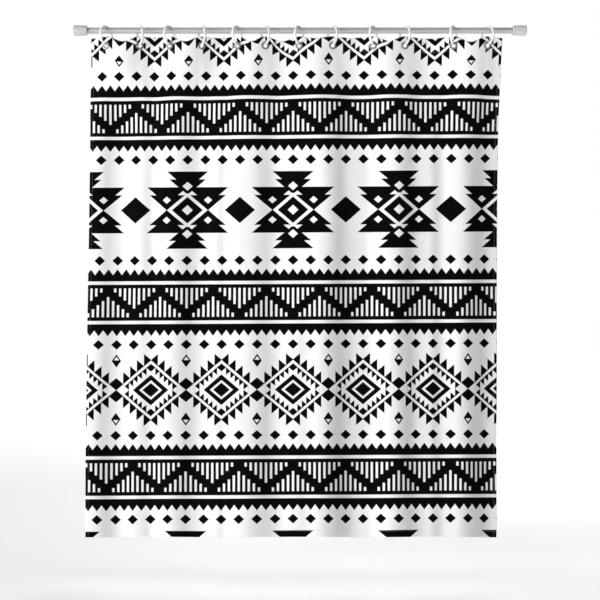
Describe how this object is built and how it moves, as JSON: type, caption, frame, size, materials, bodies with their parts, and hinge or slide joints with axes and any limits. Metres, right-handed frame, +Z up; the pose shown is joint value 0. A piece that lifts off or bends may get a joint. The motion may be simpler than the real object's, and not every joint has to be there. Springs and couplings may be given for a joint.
{
  "type": "shower curtain",
  "caption": "Printed shower curtain sheet hung by snap rings through metal eyelets from an extending tension rod with padded end caps.",
  "frame": {"origin": "centre of the left wall pad's outer face, on the rod's axis", "axes": "+X along the rod to the right as the user sees it, +Y away from the user into the tub, +Z up"},
  "size_m": [1.652, 0.0643, 1.8693],
  "materials": {
    "tube": "satin grey, soft highlight along the top",
    "cap": "pale grey moulded plastic",
    "pad": "soft grey rubber",
    "lock": "dark nylon, hidden in the rod",
    "ring": "white milky plastic",
    "eyelet": "nickel plated, lightly brushed",
    "cloth": "white woven polyester with a black geometric print"
  },
  "bodies": {
    "rod": {"outer_tube": "tube", "cap_left": "cap", "pad_left": "pad"},
    "lock": {"lock_collar": "lock"},
    "inner_rod": {"inner_tube": "tube", "lock_spindle": "lock", "cap_right": "cap", "pad_right": "pad"},
    "curtain": {"curtain_sheet": "cloth"},
    "ring_01": {"ring_01": "ring"},
    "eyelet_01": {"eyelet_01": "eyelet"},
    "ring_02": {"ring_02": "ring"},
    "eyelet_02": {"eyelet_02": "eyelet"},
    "ring_03": {"ring_03": "ring"},
    "eyelet_03": {"eyelet_03": "eyelet"},
    "ring_04": {"ring_04": "ring"},
    "eyelet_04": {"eyelet_04": "eyelet"},
    "ring_05": {"ring_05": "ring"},
    "eyelet_05": {"eyelet_05": "eyelet"},
    "ring_06": {"ring_06": "ring"},
    "eyelet_06": {"eyelet_06": "eyelet"},
    "ring_07": {"ring_07": "ring"},
    "eyelet_07": {"eyelet_07": "eyelet"},
    "ring_08": {"ring_08": "ring"},
    "eyelet_08": {"eyelet_08": "eyelet"},
    "ring_09": {"ring_09": "ring"},
    "eyelet_09": {"eyelet_09": "eyelet"},
    "ring_10": {"ring_10": "ring"},
    "eyelet_10": {"eyelet_10": "eyelet"},
    "ring_11": {"ring_11": "ring"},
    "eyelet_11": {"eyelet_11": "eyelet"},
    "ring_12": {"ring_12": "ring"},
    "eyelet_12": {"eyelet_12": "eyelet"}
  },
  "joints": [
    {"name": "rod_length", "type": "slide", "parent": "rod", "child": "lock", "axis": [1, 0, 0], "range_m": [0, 0.6]},
    {"name": "rod_twist", "type": "hinge", "parent": "lock", "child": "inner_rod", "pos_m": [0.9, 0, 0], "axis": [1, 0, 0], "range_deg": [0, 90]},
    {"name": "curtain_swing", "type": "hinge", "parent": "rod", "child": "curtain", "pos_m": [0.8145, 0, -0.0483], "axis": [1, 0, 0], "range_deg": [-15, 15]},
    {"name": "ring_01_slide", "type": "slide", "parent": "rod", "child": "ring_01", "axis": [-1, 0, 0], "range_m": [0, 0.0337]},
    {"name": "ring_02_slide", "type": "slide", "parent": "rod", "child": "ring_02", "axis": [-1, 0, 0], "range_m": [0, 0.1075]},
    {"name": "ring_03_slide", "type": "slide", "parent": "rod", "child": "ring_03", "axis": [-1, 0, 0], "range_m": [0, 0.1723]},
    {"name": "ring_04_slide", "type": "slide", "parent": "rod", "child": "ring_04", "axis": [-1, 0, 0], "range_m": [0, 0.2431]},
    {"name": "ring_05_slide", "type": "slide", "parent": "rod", "child": "ring_05", "axis": [-1, 0, 0], "range_m": [0, 0.3211]},
    {"name": "ring_06_slide", "type": "slide", "parent": "rod", "child": "ring_06", "axis": [-1, 0, 0], "range_m": [0, 0.3823]},
    {"name": "ring_07_slide", "type": "slide", "parent": "rod", "child": "ring_07", "axis": [-1, 0, 0], "range_m": [0, 0.4567]},
    {"name": "ring_08_slide", "type": "slide", "parent": "rod", "child": "ring_08", "axis": [-1, 0, 0], "range_m": [0, 0.5299]},
    {"name": "ring_09_slide", "type": "slide", "parent": "rod", "child": "ring_09", "axis": [-1, 0, 0], "range_m": [0, 0.6193]},
    {"name": "ring_10_slide", "type": "slide", "parent": "rod", "child": "ring_10", "axis": [-1, 0, 0], "range_m": [0, 0.6883]},
    {"name": "ring_11_slide", "type": "slide", "parent": "rod", "child": "ring_11", "axis": [-1, 0, 0], "range_m": [0, 0.7951]},
    {"name": "ring_12_slide", "type": "slide", "parent": "rod", "child": "ring_12", "axis": [-1, 0, 0], "range_m": [0, 0.8694], "deforming": ["curtain_sheet"]},
    {"name": "eyelet_01_swing", "type": "hinge", "parent": "ring_01", "child": "eyelet_01", "pos_m": [0.118, 0, -0.0483], "axis": [1, 0, 0], "range_deg": [-15, 15]},
    {"name": "eyelet_02_swing", "type": "hinge", "parent": "ring_02", "child": "eyelet_02", "pos_m": [0.241, 0, -0.0483], "axis": [1, 0, 0], "range_deg": [-15, 15]},
    {"name": "eyelet_03_swing", "type": "hinge", "parent": "ring_03", "child": "eyelet_03", "pos_m": [0.349, 0, -0.0483], "axis": [1, 0, 0], "range_deg": [-15, 15]},
    {"name": "eyelet_04_swing", "type": "hinge", "parent": "ring_04", "child": "eyelet_04", "pos_m": [0.467, 0, -0.0483], "axis": [1, 0, 0], "range_deg": [-15, 15]},
    {"name": "eyelet_05_swing", "type": "hinge", "parent": "ring_05", "child": "eyelet_05", "pos_m": [0.597, 0, -0.0483], "axis": [1, 0, 0], "range_deg": [-15, 15]},
    {"name": "eyelet_06_swing", "type": "hinge", "parent": "ring_06", "child": "eyelet_06", "pos_m": [0.699, 0, -0.0483], "axis": [1, 0, 0], "range_deg": [-15, 15]},
    {"name": "eyelet_07_swing", "type": "hinge", "parent": "ring_07", "child": "eyelet_07", "pos_m": [0.823, 0, -0.0483], "axis": [1, 0, 0], "range_deg": [-15, 15]},
    {"name": "eyelet_08_swing", "type": "hinge", "parent": "ring_08", "child": "eyelet_08", "pos_m": [0.945, 0, -0.0483], "axis": [1, 0, 0], "range_deg": [-15, 15]},
    {"name": "eyelet_09_swing", "type": "hinge", "parent": "ring_09", "child": "eyelet_09", "pos_m": [1.094, 0, -0.0483], "axis": [1, 0, 0], "range_deg": [-15, 15]},
    {"name": "eyelet_10_swing", "type": "hinge", "parent": "ring_10", "child": "eyelet_10", "pos_m": [1.209, 0, -0.0483], "axis": [1, 0, 0], "range_deg": [-15, 15]},
    {"name": "eyelet_11_swing", "type": "hinge", "parent": "ring_11", "child": "eyelet_11", "pos_m": [1.387, 0, -0.0483], "axis": [1, 0, 0], "range_deg": [-15, 15]},
    {"name": "eyelet_12_swing", "type": "hinge", "parent": "ring_12", "child": "eyelet_12", "pos_m": [1.511, 0, -0.0483], "axis": [1, 0, 0], "range_deg": [-15, 15]}
  ],
  "couplings": [
    {"joint": "ring_01_slide", "follows": "ring_12_slide", "ratio": 0.038647},
    {"joint": "ring_02_slide", "follows": "ring_12_slide", "ratio": 0.12353},
    {"joint": "ring_03_slide", "follows": "ring_12_slide", "ratio": 0.19807},
    {"joint": "ring_04_slide", "follows": "ring_12_slide", "ratio": 0.2795},
    {"joint": "ring_05_slide", "follows": "ring_12_slide", "ratio": 0.36922},
    {"joint": "ring_06_slide", "follows": "ring_12_slide", "ratio": 0.43961},
    {"joint": "ring_07_slide", "follows": "ring_12_slide", "ratio": 0.52519},
    {"joint": "ring_08_slide", "follows": "ring_12_slide", "ratio": 0.60939},
    {"joint": "ring_09_slide", "follows": "ring_12_slide", "ratio": 0.71222},
    {"joint": "ring_10_slide", "follows": "ring_12_slide", "ratio": 0.79158},
    {"joint": "ring_11_slide", "follows": "ring_12_slide", "ratio": 0.91442},
    {"joint": "eyelet_01_swing", "follows": "curtain_swing", "ratio": 1},
    {"joint": "eyelet_02_swing", "follows": "curtain_swing", "ratio": 1},
    {"joint": "eyelet_03_swing", "follows": "curtain_swing", "ratio": 1},
    {"joint": "eyelet_04_swing", "follows": "curtain_swing", "ratio": 1},
    {"joint": "eyelet_05_swing", "follows": "curtain_swing", "ratio": 1},
    {"joint": "eyelet_06_swing", "follows": "curtain_swing", "ratio": 1},
    {"joint": "eyelet_07_swing", "follows": "curtain_swing", "ratio": 1},
    {"joint": "eyelet_08_swing", "follows": "curtain_swing", "ratio": 1},
    {"joint": "eyelet_09_swing", "follows": "curtain_swing", "ratio": 1},
    {"joint": "eyelet_10_swing", "follows": "curtain_swing", "ratio": 1},
    {"joint": "eyelet_11_swing", "follows": "curtain_swing", "ratio": 1},
    {"joint": "eyelet_12_swing", "follows": "curtain_swing", "ratio": 1}
  ]
}
